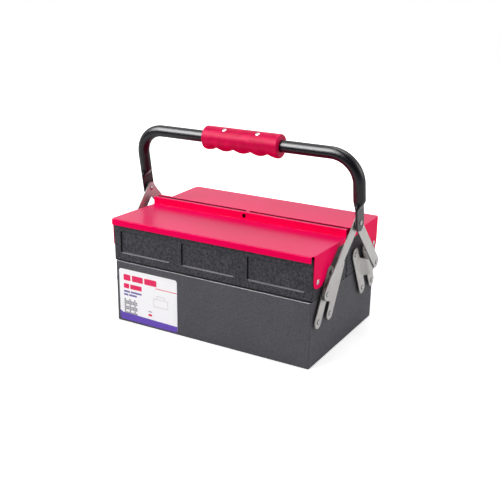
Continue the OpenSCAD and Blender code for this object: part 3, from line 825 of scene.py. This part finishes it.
def stand_plate(bm, origin, out, up, x):
    """Stands a plate, drawn in its own plane, against the end panel at a place."""
    across = Vector((0, out.x, out.y))
    along_plate = Vector((0, up.x, up.y))
    for v in bm.verts:
        v.co = origin + across * v.co.x + along_plate * v.co.y + Vector((x + v.co.z, 0, 0))
    return bm


def wing_outline():
    """Inner link with the wing that carries the arm's foot."""
    reach = ARM_BASE - INNER_BASE
    pivot = Vector((reach.yz.dot(LINK_OUT), reach.yz.dot(LINK_UP)))
    half = INNER_WIDTH / 2
    outline = arc((0, 0), half, 180, 360, 18)
    toe_y = WING_BOTTOM - WING_TOE
    outline += [(half, toe_y)] + arc((half + WING_TOE, toe_y), WING_TOE, 180, 99, 5)
    outline += arc(pivot, WING_RADIUS, -99, 50, 22)
    outline += [(WING_BEND[0] + 1.5, WING_BEND[1] - 1.0), (WING_BEND[0] - 1.2, WING_BEND[1] + 1.4)]
    outline += [(half + 1.2, WING_TOP - 1.4), (half, WING_TOP + 1.5)]
    outline += arc((0, LINK.length), half, 0, 180, 18)
    return outline, pivot


def stamped_pair(side, y, piece, body, node, build):
    """The same stamped plate at the left and the right end of the box."""
    for end, x in (("left", -1), ("right", 1)):
        bm = mirror(build(), x, y)
        nodes = [f"{side}_{node}_{end}"]
        make_piece(f"{side}_{piece}_{end}", bm, f"{side}_{body}", nodes, STAMPED)


def make_inner_links(side, y, wing_x):
    """Inner links: bell cranks, whose wings are folded outward past the outer links."""
    rise = wing_x - LINK_X
    stations = [(-40, 0)]
    for i in range(FOLD_STEPS + 1):
        share = i / FOLD_STEPS
        stations.append((FOLD_START + FOLD_WIDTH * share, rise * ease(share)))
    stations.append((60, rise))

    def build():
        outline, pivot = wing_outline()
        holes = [hole((0, 0), RIVET_HOLE), hole((0, LINK.length), RIVET_HOLE), hole(pivot, SLACK_HOLE)]
        bm = plate(outline, holes, LINK_SHEET, STAMPED_EDGE, 1)
        joggle(bm, 0, stations)
        return stand_plate(bm, INNER_BASE, LINK_OUT, LINK_UP, LINK_X)

    stamped_pair(side, y, "bell_crank", "inner_links", "inner_link", build)


def make_outer_links(side, y):
    """Outer links: flat straps with round ends."""

    def build():
        holes = [hole((0, 0), RIVET_HOLE), hole((0, LINK.length), RIVET_HOLE)]
        bm = plate(bar(LINK.length, OUTER_WIDTH), holes, LINK_SHEET, STAMPED_EDGE, 1)
        return stand_plate(bm, OUTER_BASE, LINK_OUT, LINK_UP, LINK_X)

    stamped_pair(side, y, "strap_link", "outer_links", "outer_link", build)


def make_arms(side, y, top_x, low_x):
    """Arms: flat bars from the handle's pivot to the wings, bent if they start in
    another plane than they end."""
    down = Vector((ARM_BASE.y - HANDLE_PIVOT.y, ARM_BASE.z - HANDLE_PIVOT.z))
    length = down.length
    down.normalize()
    bend = low_x - top_x

    def build():
        holes = [hole((0, 0), HANDLE_PIN + RUNNING_FIT), hole((0, length), ARM_PIN + FIXED_FIT)]
        bm = plate(bar(length, ARM_WIDTH), holes, ARM_SHEET, STAMPED_EDGE, 1)
        joggle(bm, 1, [(-40, 0), (ARM_FLAT, 0), (length - ARM_FLAT, bend), (length + 40, bend)])
        return stand_plate(bm, HANDLE_PIVOT, Vector((-down.y, down.x)), down, top_x)

    stamped_pair(side, y, "flat_arm", "arms", "arm", build)


# ---- Rivets


def dome(start, radius, height):
    """Profile of a peened head: a low rim, a dome and the punch's small flat."""
    rim = 0.25
    ball = (radius**2 + (height - rim) ** 2) / (2 * (height - rim))
    widest = math.degrees(math.asin(radius / ball))
    points = [(start, radius - 0.15), (start + rim - 0.13, radius), (start + rim, radius)]
    for i in range(1, 9):
        angle = math.radians(widest * (1 - i / 9))
        points.append((start + height - ball + ball * math.cos(angle), ball * math.sin(angle)))
    return points + [(start + height - 0.03, 0.35), (start + height - 0.12, 0)]


def shoulder_rivet(wall_x, wall, plate_x, plate_sheet):
    """Rivet that a plate turns on: button inside the wall, collar, shank and head."""
    inside = wall_x - wall
    head = plate_x + plate_sheet + AXIAL_GAP
    collar = plate_x - AXIAL_GAP
    profile = [(inside - TAIL_HEIGHT, 0), (inside - TAIL_HEIGHT, TAIL_RADIUS - 0.6)]
    profile += [(inside - 1.15, TAIL_RADIUS - 0.15), (inside - 0.8, TAIL_RADIUS), (inside, TAIL_RADIUS)]
    profile += [(inside, RIVET_PIN), (wall_x, RIVET_PIN), (wall_x, TAIL_RADIUS)]
    profile += [(collar, TAIL_RADIUS), (collar, RIVET_PIN), (head, RIVET_PIN)]
    return turned(profile + dome(head, RIVET_HEAD, HEAD_HEIGHT))


def at_ends(make, points, y):
    """The same piece at each point, on both end panels."""
    parts = []
    for point in points:
        for x in (-1, 1):
            bm = make()
            bmesh.ops.translate(bm, vec=(0, point.y, point.z), verts=bm.verts)
            parts.append(mirror(bm, x, y))
    return parts


def make_rivets():
    """Rivets: those that the links, the lids, the arms and the handle turn on."""

    def in_base():
        return shoulder_rivet(HALF_LENGTH, BASE_SHEET, LINK_X, LINK_SHEET)

    def in_tray():
        return shoulder_rivet(TRAY_HALF_LENGTH, TRAY_SHEET, LINK_X, LINK_SHEET)

    def in_lid():
        return shoulder_rivet(TRAY_HALF_LENGTH, TRAY_SHEET, EAR_X, LID_SHEET)

    def put(piece, parts, body, node, materials=PEENED):
        """One piece of all the rivets that a body carries."""
        make_piece(piece, join(parts), body, [node], materials)

    feet = [INNER_BASE, OUTER_BASE]
    parts = at_ends(in_base, feet, -1) + at_ends(in_base, feet, 1)
    put("base_shoulder_rivets", parts, "base", "base_rivets")
    arm_planes = (("front", -1, FRONT_WING_X, FRONT_ARM_LOW_X), ("back", 1, BACK_WING_X, BACK_ARM_X))
    for side, y, wing, arm in arm_planes:
        parts = at_ends(in_tray, [INNER_TOP, OUTER_TOP], y)
        put(f"{side}_tray_shoulder_rivets", parts, f"{side}_tray", f"{side}_tray_rivets")
        # The lids' rivets have no painted shade at their rims
        parts = at_ends(in_lid, [LID_PIVOT], y)
        bright = [rivet_zinc, rivet_zinc]
        put(f"{side}_lid_shoulder_rivets", parts, f"{side}_tray", f"{side}_lid_rivets", bright)
        seat = arm + ARM_SHEET
        profile = [(wing, 0), (wing, ARM_PIN - 0.2), (wing + 0.2, ARM_PIN), (seat, ARM_PIN)]
        profile += dome(seat, RIVET_HEAD, HEAD_HEIGHT)
        parts = at_ends(lambda: turned(profile), [ARM_BASE], y)
        put(f"{side}_arm_foot_rivets", parts, f"{side}_arms", f"{side}_arm_rivets")
    inner_face = FRONT_ARM_TOP_X - AXIAL_GAP
    outer_face = HANDLE_FLAT_X + FLAT_THICKNESS + AXIAL_GAP
    head = dome(inner_face, HANDLE_RIVET_HEAD, HEAD_HEIGHT)
    profile = [(2 * inner_face - x, radius) for x, radius in reversed(head)]
    profile += [(inner_face, HANDLE_PIN), (outer_face, HANDLE_PIN)]
    profile += dome(outer_face, HANDLE_RIVET_HEAD, HEAD_HEIGHT)
    parts = at_ends(lambda: turned(profile), [HANDLE_PIVOT], 1)
    put("handle_pivot_rivets", parts, "handle_pivots", "handle_rivets")


# ---- Handle and grip

TUBE_RADIUS = 8.7
FLAT_WIDTH = 25.0
FLAT_THICKNESS = 3.4
FLAT_RISE = 20.0
FLAT_BLEND = 14.0
HANDLE_FLAT_X = BACK_ARM_X + ARM_SHEET + STACK_GAP
LEG_X = HANDLE_FLAT_X + FLAT_THICKNESS / 2
HANDLE_RISE = 96.8
HANDLE_BEND = 40.0
HANDLE_LEAN = math.radians(9.9)


def lean(bm):
    """Tips the handle forward about its pivot and puts it in place."""
    bmesh.ops.rotate(bm, matrix=Matrix.Rotation(HANDLE_LEAN, 3, "X"), verts=bm.verts)
    bmesh.ops.translate(bm, vec=HANDLE_PIVOT, verts=bm.verts)
    return bm


def tube_stations():
    """Half of the tube's line, from its right tip to the middle of the top: each
    station's centre, direction, width across and thickness."""
    stations = []
    tip = FLAT_WIDTH / 2
    for i in range(11):
        angle = math.radians(90 * i / 10)
        z = -tip * math.cos(angle)
        width = max(2 * tip * math.sin(angle), FLAT_THICKNESS)
        thick = FLAT_THICKNESS if i else FLAT_THICKNESS * 0.6
        stations.append((Vector((LEG_X, 0, z)), Vector((0, 0, 1)), width if i else thick, thick))
    stations.append((Vector((LEG_X, 0, FLAT_RISE)), Vector((0, 0, 1)), FLAT_WIDTH, FLAT_THICKNESS))
    for i in range(1, 13):
        share = i / 12
        width = FLAT_WIDTH + (2 * TUBE_RADIUS - FLAT_WIDTH) * ease(share)
        thick = FLAT_THICKNESS + (2 * TUBE_RADIUS - FLAT_THICKNESS) * ease(share)
        z = FLAT_RISE + FLAT_BLEND * share
        stations.append((Vector((LEG_X, 0, z)), Vector((0, 0, 1)), width, thick))
    centre = Vector((LEG_X - HANDLE_BEND, 0, HANDLE_RISE - HANDLE_BEND))
    for i in range(25):
        angle = math.radians(90 * i / 24)
        point = centre + HANDLE_BEND * Vector((math.cos(angle), 0, math.sin(angle)))
        way = Vector((-math.sin(angle), 0, math.cos(angle)))
        stations.append((point, way, 2 * TUBE_RADIUS, 2 * TUBE_RADIUS))
    return stations


def make_tube():
    """Handle: one tube swept from tip to tip, flattened at both ends."""
    half = tube_stations()
    other = [
        (Vector((-p.x, p.y, p.z)), Vector((d.x, d.y, -d.z)), width, thick)
        for p, d, width, thick in reversed(half)
    ]
    bm = bmesh.new()
    rings = []
    steps = 48
    for point, direction, width, thick in half + other:
        sideways = Vector((0, 1, 0))
        out = direction.cross(sideways)
        spread = (width - thick) / 2
        level = []
        for i in range(steps):
            angle = 2 * math.pi * (i + 0.5) / steps
            across = math.copysign(spread, math.cos(angle)) + thick / 2 * math.cos(angle)
            level.append(bm.verts.new(point + sideways * across + out * (thick / 2 * math.sin(angle))))
        rings.append(level)
    skin(bm, rings)
    bm.faces.new(rings[0])
    bm.faces.new(rings[-1])
    coats = [tube_lacquer]
    tube = make_piece("bent_handle_tube", lean(bm), "handle", ["handle_tube"], coats, 50)
    for x in (-1, 1):
        start = HANDLE_PIVOT + Vector((x * (HANDLE_FLAT_X - 2), 0, 0))
        end = HANDLE_PIVOT + Vector((x * (HANDLE_FLAT_X + FLAT_THICKNESS + 2), 0, 0))
        drill(tube, start, end, HANDLE_PIN + RUNNING_FIT)


GRIP_HALF = (grip_high.x - grip_low.x) / 2
GRIP_MIDDLE = (grip_high.x + grip_low.x) / 2
GRIP_RADIUS = 16.5
BUMP_PITCH = 28.0
BUMP_CREST = 17.9
BUMP_GROOVE = 13.0
GRIP_EDGE = 1.8
GRIP_FIT = 0.05
SCREW_REACH = 27.0
SCREW_TILT = math.radians(18)
SCREW_HEAD = 3.4
SCREW_PIN = 1.6
SCREW_ROOM = 0.2
SCREW_SEAT = GRIP_RADIUS - 0.7


def grip_reach(x, angle):
    """The grip's radius at a place along it and an angle, 0 at the back, 90 on top."""
    wave = abs(math.cos(math.pi * x / BUMP_PITCH))
    crest = BUMP_GROOVE + (BUMP_CREST - BUMP_GROOVE) * math.sqrt(wave * wave * 0.9 + 0.1 * wave)
    under = max(0, -math.sin(angle)) ** 1.6
    return GRIP_RADIUS + (crest - GRIP_RADIUS) * under


def make_grip():
    """Grip: a moulded sleeve, round on top and with five finger swells beneath."""
    bm = bmesh.new()
    steps = 72
    bore = TUBE_RADIUS + GRIP_FIT
    slices = 160
    xs = [-GRIP_HALF + GRIP_EDGE + 2 * (GRIP_HALF - GRIP_EDGE) * i / slices for i in range(slices + 1)]
    lines = [(-GRIP_HALF, bore, None), (-GRIP_HALF, bore + 0.6, None)]
    for i in range(6):
        angle = math.radians(90 * i / 5)
        run = GRIP_EDGE * (1 - math.sin(angle))
        lines.append((-GRIP_HALF + run, None, GRIP_EDGE * (1 - math.cos(angle))))
    body = [(x, None, 0) for x in xs]
    lines = lines[:2] + list(reversed(lines[2:])) + body
    mirrored = [(-x, radius, inset) for x, radius, inset in reversed(lines[:8])]
    lines += mirrored
    rings = []
    for x, radius, inset in lines:
        level = []
        for i in range(steps):
            angle = 2 * math.pi * i / steps
            reach = radius if radius else grip_reach(x, angle) - inset
            across, up = reach * math.cos(angle), reach * math.sin(angle)
            level.append(bm.verts.new((GRIP_MIDDLE + x, across, HANDLE_RISE + up)))
        rings.append(level)
    skin(bm, rings + rings[:1])
    grip = make_piece("moulded_grip", lean(bm), "handle", ["grip"], [grip_vinyl], 60)
    up = Matrix.Rotation(HANDLE_LEAN, 3, "X") @ Vector((0, 0, 1))
    out = Matrix.Rotation(HANDLE_LEAN + SCREW_TILT, 3, "X") @ Vector((0, 0, 1))
    for x in (GRIP_MIDDLE - SCREW_REACH, GRIP_MIDDLE + SCREW_REACH):
        seat = HANDLE_PIVOT + Vector((x, 0, 0)) + up * HANDLE_RISE + out * SCREW_SEAT
        drill(grip, seat, seat + out * 4, SCREW_HEAD + SCREW_ROOM)


def make_screws():
    """Pan-head screws in the grip's two counterbores."""
    parts = []
    for x in (GRIP_MIDDLE - SCREW_REACH, GRIP_MIDDLE + SCREW_REACH):
        profile = [(TUBE_RADIUS - 1, 0), (TUBE_RADIUS - 1, SCREW_PIN), (SCREW_SEAT, SCREW_PIN)]
        profile += dome(SCREW_SEAT, SCREW_HEAD, HEAD_HEIGHT)
        bm = turned(profile, 32)
        bmesh.ops.rotate(bm, matrix=Matrix.Rotation(math.radians(-90), 3, "Y"), verts=bm.verts)
        bmesh.ops.rotate(bm, matrix=Matrix.Rotation(SCREW_TILT, 3, "X"), verts=bm.verts)
        bmesh.ops.translate(bm, vec=(x, 0, HANDLE_RISE), verts=bm.verts)
        parts.append(bm)
    make_piece("grip_pan_screws", lean(join(parts)), "handle", ["grip_screws"], PEENED)


# ---- Label

PRINT = 0.04
LABEL_CORNER = 4.0
BAND_HEIGHT = 10.5
CODE_PLACE = (8.3, 46.5)
CODE_CELLS = 8
CODE_CELL = 3.0
CODE_INK = 0.86
# Plain printed blocks: left, top, width, height and corner radius, in millimetres from
# the label's top left corner
HEADING = [
    (8, 8, 13, 9.5, 1.2),
    (23.5, 8, 20, 9.5, 1.2),
    (46, 8, 22, 9.5, 1.2),
    (8, 22.5, 10, 7.5, 0.8),
    (20, 22.5, 21, 7.5, 0.8),
    (66, 19.5, 38, 1.1, 0.3),
    (52, 62.5, 7, 3.4, 1.6),
]
SMALL_LINES = [(8, 33.5, 11, 3, 0.4), (20.5, 33.5, 20, 3, 0.4)]
SMALL_LINES += [(8, 38.5, 8, 3, 0.4), (17.5, 38.5, 14, 3, 0.4)]
MARK = (52, 58, 7, 1.4, 0.7)
DRAWING = [(62, 36, 26, 1, 0.4), (62, 48, 26, 1, 0.4), (62, 36, 1, 13, 0.4), (87, 36, 1, 13, 0.4)]
DRAWING += [(68, 31, 1, 6, 0.4), (81, 31, 1, 6, 0.4), (68, 31, 14, 1, 0.4)]


def block(left, top, width, height, radius):
    """Outline of a printed block, from the label's top left corner."""
    right, bottom = left + width, top + height
    radius = min(radius, width / 2.1, height / 2.1)
    points = arc((left + radius, -bottom + radius), radius, 180, 270, 4)
    points += arc((right - radius, -bottom + radius), radius, 270, 360, 4)
    points += arc((right - radius, -top - radius), radius, 0, 90, 4)
    return points + arc((left + radius, -top - radius), radius, 90, 180, 4)


def lay_print(name, outlines, ink):
    """Printed blocks lying on the label."""
    parts = []
    for outline in outlines:
        bm = plate(outline, [], PRINT, PRINT / 4)
        for v in bm.verts:
            v.co = (label_low.x + v.co.x, label_low.y - v.co.z, label_high.z + v.co.y)
        parts.append(bm)
    make_piece(name, join(parts), "base", [], [ink])


def make_label():
    """Label: a white card with plain blocks of colour where print would be."""
    width, height = label_high.x - label_low.x, label_high.z - label_low.z
    card = plate(block(0, 0, width, height, LABEL_CORNER), [], label_high.y - label_low.y, 0.08)
    for v in card.verts:
        v.co = (label_low.x + v.co.x, label_high.y - v.co.z, label_high.z + v.co.y)
    make_piece("label_card", card, "base", ["label"], [card_white])

    # The band's upper edge bends down towards its left end
    corner = LABEL_CORNER
    band_top = height - BAND_HEIGHT
    band = arc((corner, -height + corner), corner, 180, 270, 6)
    band += arc((width - corner, -height + corner), corner, 270, 360, 6)
    band += [(width, -band_top - 1.5), (12, -band_top + 0.8)]
    band += arc((6.0, -band_top + 5.0), 4.2, 270, 215, 4) + [(0, -band_top + 3.6)]
    cells = []
    for i in range(CODE_CELLS):
        for j in range(CODE_CELLS):
            if (i * i + 3 * j + i * j) % 3 != 1:
                left, top = CODE_PLACE[0] + i * CODE_CELL, CODE_PLACE[1] + j * CODE_CELL
                cells.append((left, top, CODE_CELL * CODE_INK, CODE_CELL * CODE_INK, 0.2))
    lay_print("label_band", [band], ink_purple)
    lay_print("label_heading", [block(*row) for row in HEADING], ink_pink)
    lay_print("label_lines", [block(*row) for row in SMALL_LINES], ink_violet)
    lay_print("label_squares", [block(*row) for row in cells + [MARK]], ink_grey)
    lay_print("label_drawing", [block(*row) for row in DRAWING], ink_pale)


# ---- Stage

WORLD_FILL = 0.3
DARK_SIDE = 0.12
SOFTBOX_WAY = (-0.48, -0.62, 0.62)
SOFTBOX_EDGE = math.cos(math.radians(36))
SOFTBOX_CORE = math.cos(math.radians(20))
SOFTBOX_GLOW = 12.0
FLOOR_CORNERS = ((-3.0, -0.62), (3.0, -0.62), (3.0, 4.0), (-3.0, 4.0))
FLOOR_DROP = 0.0003
# The camera's azimuth, elevation and roll, and what it looks at, in millimetres
CAMERA_ANGLES = (29.70, 18.72, 0.87)
CAMERA_TARGET = (6.24, 0, 110.28)
CAMERA_DISTANCE = 1211.18
FOCAL_PIXELS = 812.1
FRAME_PIXELS = 500
SENSOR = 36
# Each lamp's name, place and aim, its width and height, and its watts
LAMPS = (
    ("key_softbox", (-1.1, -1.7, 1.7), (0, 0, 0.12), 1.2, 1.0, 38),
    ("side_softbox", (2.1, 0.6, 1.0), (0, 0, 0.1), 1.2, 1.2, 13),
    ("top_softbox", (0.2, 0.5, 2.1), (0, 0, 0.1), 1.4, 0.8, 16),
)


def make_floor():
    """White sweep: it runs far to the sides and the back and ends in front of the box."""
    bm = bmesh.new()
    bm.faces.new([bm.verts.new((x, y, 0)) for x, y in FLOOR_CORNERS])
    mesh = bpy.data.meshes.new("floor")
    bm.to_mesh(mesh)
    bm.free()
    floor = bpy.data.objects.new("floor", mesh)
    floor.location.z = -FLOOR_DROP
    bpy.context.scene.collection.objects.link(floor)
    material, place = new_material(
        "white_studio_floor",
        Base_Color=colour("#f6f6f6"),
        Roughness=0.8,
        Specular_IOR_Level=0.1,
        Emission_Color=(1, 1, 1, 1),
    )
    # White to the eye far from the box; close to it the box's shadow still shows
    reach = add(material, "VectorMath", {0: place}, "Value", operation="LENGTH")
    levels = {"From Min": 0.25, "From Max": 0.9, "To Min": 0.5, "To Max": 1.0}
    fade = add(material, "MapRange", {"Value": reach, **levels}, interpolation_type="SMOOTHSTEP")
    eye = add(material, "LightPath", {}, "Is Camera Ray")
    glow = add(material, "Math", {0: eye, 1: fade}, operation="MULTIPLY")
    mesh.materials.append(wire(material, Emission_Strength=glow))


def make_lamps():
    """Soft lamps at the front left, the right and overhead."""
    for name, place, aim, width, height, watts in LAMPS:
        lamp = bpy.data.lights.new(name, "AREA")
        lamp.shape = "RECTANGLE"
        lamp.size, lamp.size_y = width, height
        lamp.energy = watts
        holder = bpy.data.objects.new(name, lamp)
        holder.location = place
        holder.rotation_euler = (Vector(aim) - Vector(place)).to_track_quat("-Z", "Y").to_euler()
        bpy.context.scene.collection.objects.link(holder)


def make_world():
    """White to the camera, and in reflections from behind and above; dark towards the
    front, as a studio is behind the camera, but for one softbox up on the left."""
    world = bpy.data.worlds.new("studio")
    world.use_nodes = True
    bpy.context.scene.world = world
    background = world.node_tree.nodes["Background"]
    background.inputs["Color"].default_value = (1, 1, 1, 1)
    smooth = {"interpolation_type": "SMOOTHSTEP"}
    way = add(world, "TexCoord", {}, "Generated")
    depth = add(world, "SeparateXYZ", {"Vector": way}, "Y")
    levels = {"From Min": -0.5, "From Max": 0.1, "To Min": DARK_SIDE, "To Max": 1.0}
    backdrop = add(world, "MapRange", {"Value": depth, **levels}, **smooth)
    aim = Vector(SOFTBOX_WAY).normalized()
    towards = add(world, "VectorMath", {0: way, 1: aim}, "Value", operation="DOT_PRODUCT")
    levels = {"From Min": SOFTBOX_EDGE, "From Max": SOFTBOX_CORE, "To Max": SOFTBOX_GLOW}
    softbox = add(world, "MapRange", {"Value": towards, **levels}, **smooth)
    mirrored = add(world, "Math", {0: backdrop, 1: softbox}, operation="ADD")
    glossy = add(world, "LightPath", {}, "Is Glossy Ray")
    through = add(world, "LightPath", {}, "Is Transmission Ray")
    shiny = add(world, "Math", {0: glossy, 1: through}, operation="MAXIMUM")
    reflected = add(world, "MapRange", {"Value": shiny, "To Min": WORLD_FILL, "To Max": mirrored})
    eye = add(world, "LightPath", {}, "Is Camera Ray")
    seen = add(world, "Math", {0: reflected, 1: eye}, operation="MAXIMUM")
    world.node_tree.links.new(seen, background.inputs["Strength"])


def make_camera():
    """The photograph's camera, solved from the box's own edges."""
    azimuth, elevation, roll = [math.radians(angle) for angle in CAMERA_ANGLES]
    level = math.cos(elevation)
    back = Vector((math.sin(azimuth) * level, -math.cos(azimuth) * level, math.sin(elevation)))
    side = Vector((math.cos(azimuth), math.sin(azimuth), 0))
    up = back.cross(side)
    right = side * math.cos(roll) + up * math.sin(roll)
    top = up * math.cos(roll) - side * math.sin(roll)
    lens = bpy.data.cameras.new("photo_camera")
    lens.sensor_width = SENSOR
    lens.lens = FOCAL_PIXELS / FRAME_PIXELS * SENSOR
    camera = bpy.data.objects.new("photo_camera", lens)
    place = Matrix.Translation((Vector(CAMERA_TARGET) + back * CAMERA_DISTANCE) * MM)
    camera.matrix_world = place @ Matrix((right, top, back)).transposed().to_4x4()
    bpy.context.scene.collection.objects.link(camera)
    bpy.context.scene.camera = camera


make_camera()
make_world()
make_floor()
make_lamps()

make_base()
for side, y in (("front", -1), ("back", 1)):
    make_tray(side, y)
    make_lid(side, y)
    make_outer_links(side, y)
make_inner_links("front", -1, FRONT_WING_X)
make_inner_links("back", 1, BACK_WING_X)
make_arms("front", -1, FRONT_ARM_TOP_X, FRONT_ARM_LOW_X)
make_arms("back", 1, BACK_ARM_X, BACK_ARM_X)
make_rivets()
make_tube()
make_grip()
make_screws()
make_label()

bpy.context.scene.view_settings.view_transform = "Standard"
